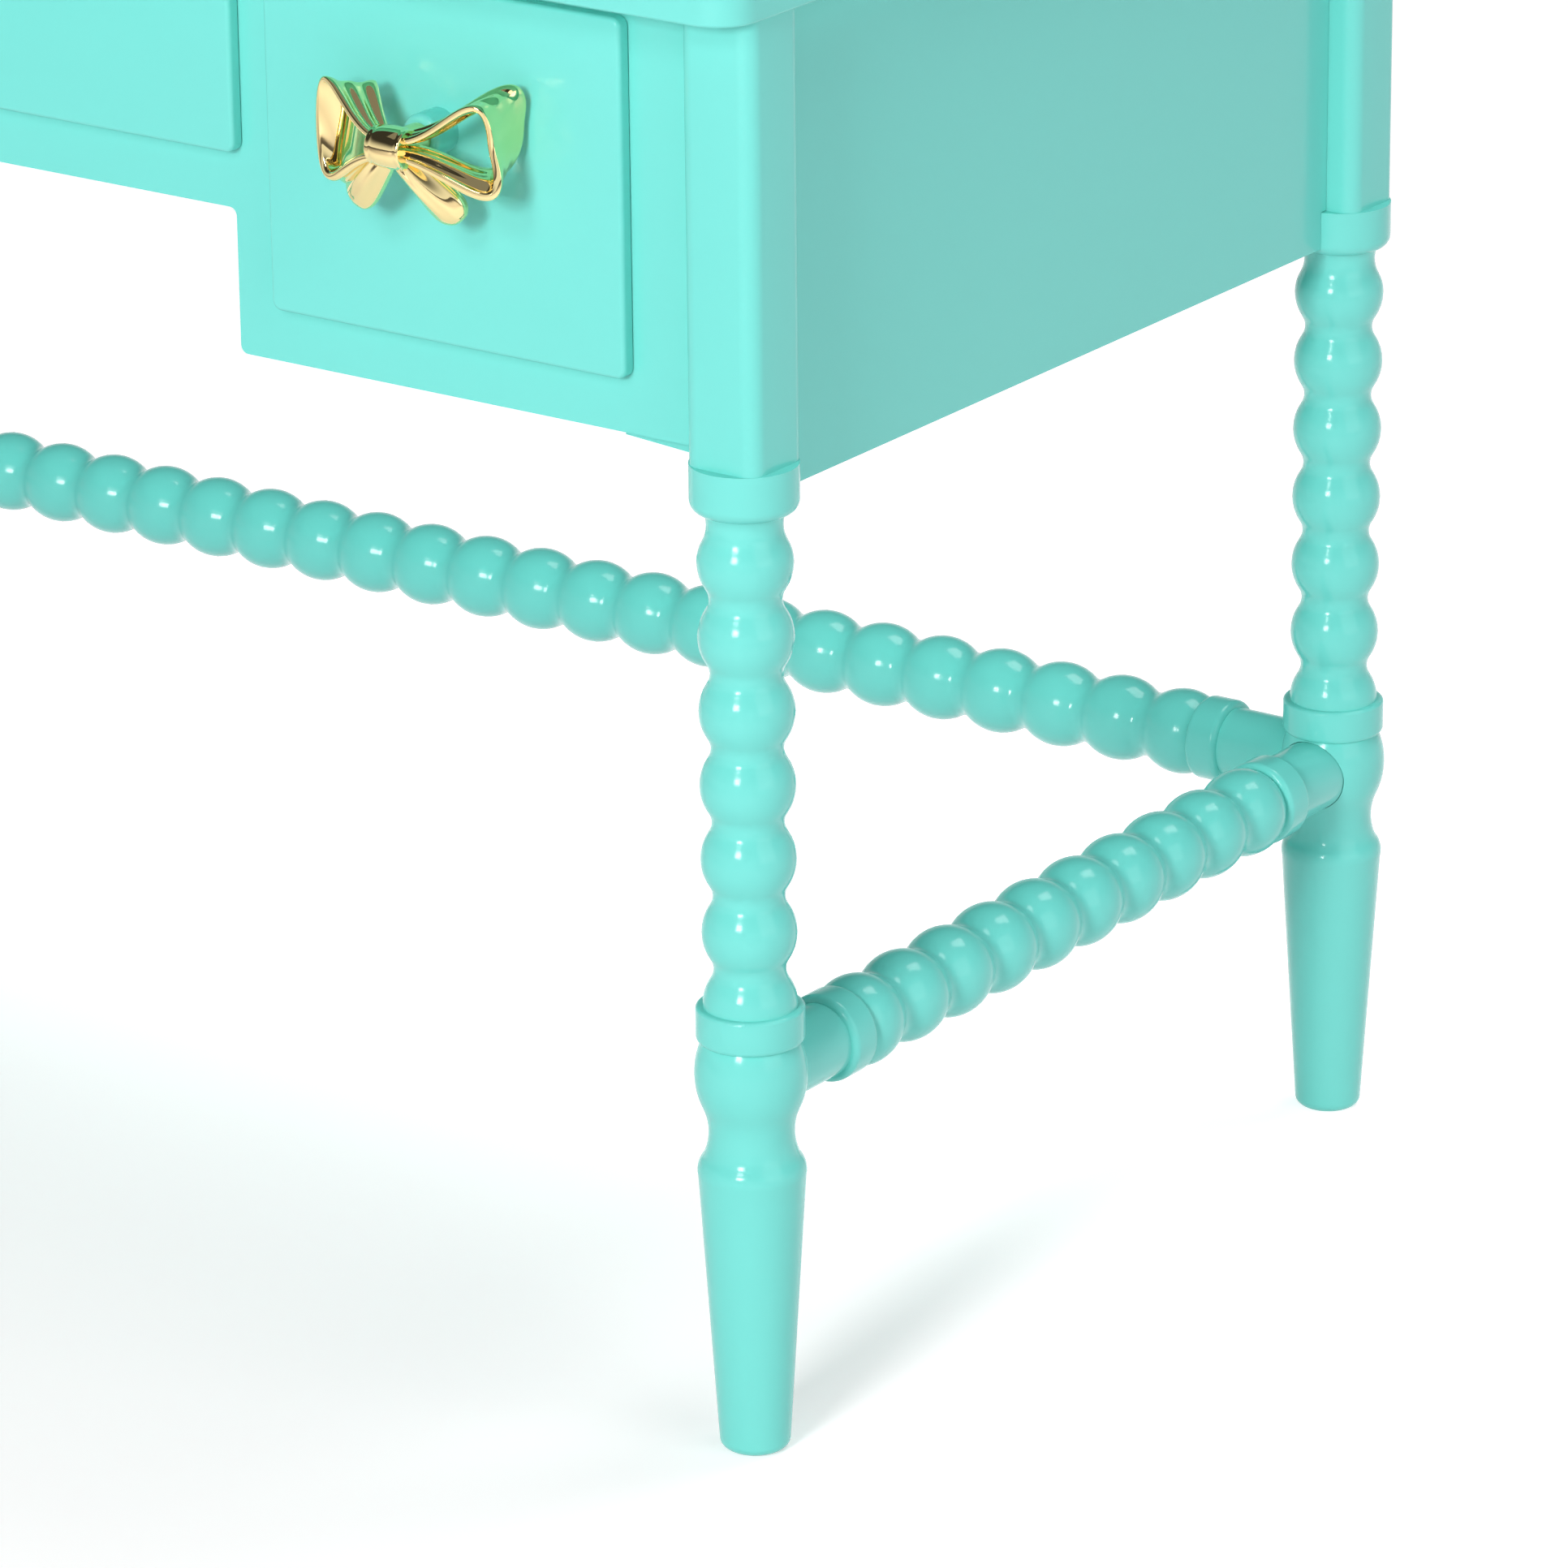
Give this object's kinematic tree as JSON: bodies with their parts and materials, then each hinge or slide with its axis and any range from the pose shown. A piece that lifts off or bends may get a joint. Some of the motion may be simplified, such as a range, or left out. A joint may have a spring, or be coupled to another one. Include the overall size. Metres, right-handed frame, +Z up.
{
  "type": "doll writing desk",
  "caption": "Glossy turquoise doll-size kneehole writing desk with bobbin-turned legs and stretchers, sliding drawers and gold bow pulls.",
  "frame": {"origin": "on the floor, in the middle of the whole box with the bow pulls included", "axes": "+X to the right of someone facing the drawers, +Y to the back, +Z up"},
  "size_m": [0.4118, 0.2156, 0.259],
  "materials": {
    "turquoise_plastic": "high-gloss moulded",
    "gold_plating": "polished gold plating",
    "screw_steel": "bright zinc"
  },
  "bodies": {
    "desk": {"desk_top": "turquoise_plastic", "front_panel": "turquoise_plastic", "back_panel": "turquoise_plastic", "side_panel_right": "turquoise_plastic", "side_panel_left": "turquoise_plastic", "divider_right": "turquoise_plastic", "divider_left": "turquoise_plastic", "bay_floor_right": "turquoise_plastic", "bay_floor_left": "turquoise_plastic", "bay_floor_centre": "turquoise_plastic", "leg_front_right": "turquoise_plastic", "leg_front_left": "turquoise_plastic", "leg_back_right": "turquoise_plastic", "leg_back_left": "turquoise_plastic", "stretcher_right": "turquoise_plastic", "stretcher_left": "turquoise_plastic", "stretcher_back": "turquoise_plastic", "top_cleat_right": "turquoise_plastic", "top_cleat_left": "turquoise_plastic", "corner_brackets": "turquoise_plastic", "bracket_screws": "screw_steel", "top_screws": "screw_steel"},
    "drawer_left": {"drawer_front_left": "turquoise_plastic", "drawer_tray_left": "turquoise_plastic", "bow_pull_left": "gold_plating", "pull_screw_left": "screw_steel"},
    "drawer_centre": {"drawer_front_centre": "turquoise_plastic", "drawer_tray_centre": "turquoise_plastic", "bow_pull_centre": "gold_plating", "pull_screw_centre": "screw_steel"},
    "drawer_right": {"drawer_front_right": "turquoise_plastic", "drawer_tray_right": "turquoise_plastic", "bow_pull_right": "gold_plating", "pull_screw_right": "screw_steel"}
  },
  "joints": [
    {"name": "drawer_left_slide", "type": "slide", "parent": "desk", "child": "drawer_left", "axis": [0, -1, 0], "range_m": [0, 0.11]},
    {"name": "drawer_centre_slide", "type": "slide", "parent": "desk", "child": "drawer_centre", "axis": [0, -1, 0], "range_m": [0, 0.11]},
    {"name": "drawer_right_slide", "type": "slide", "parent": "desk", "child": "drawer_right", "axis": [0, -1, 0], "range_m": [0, 0.11]}
  ]
}
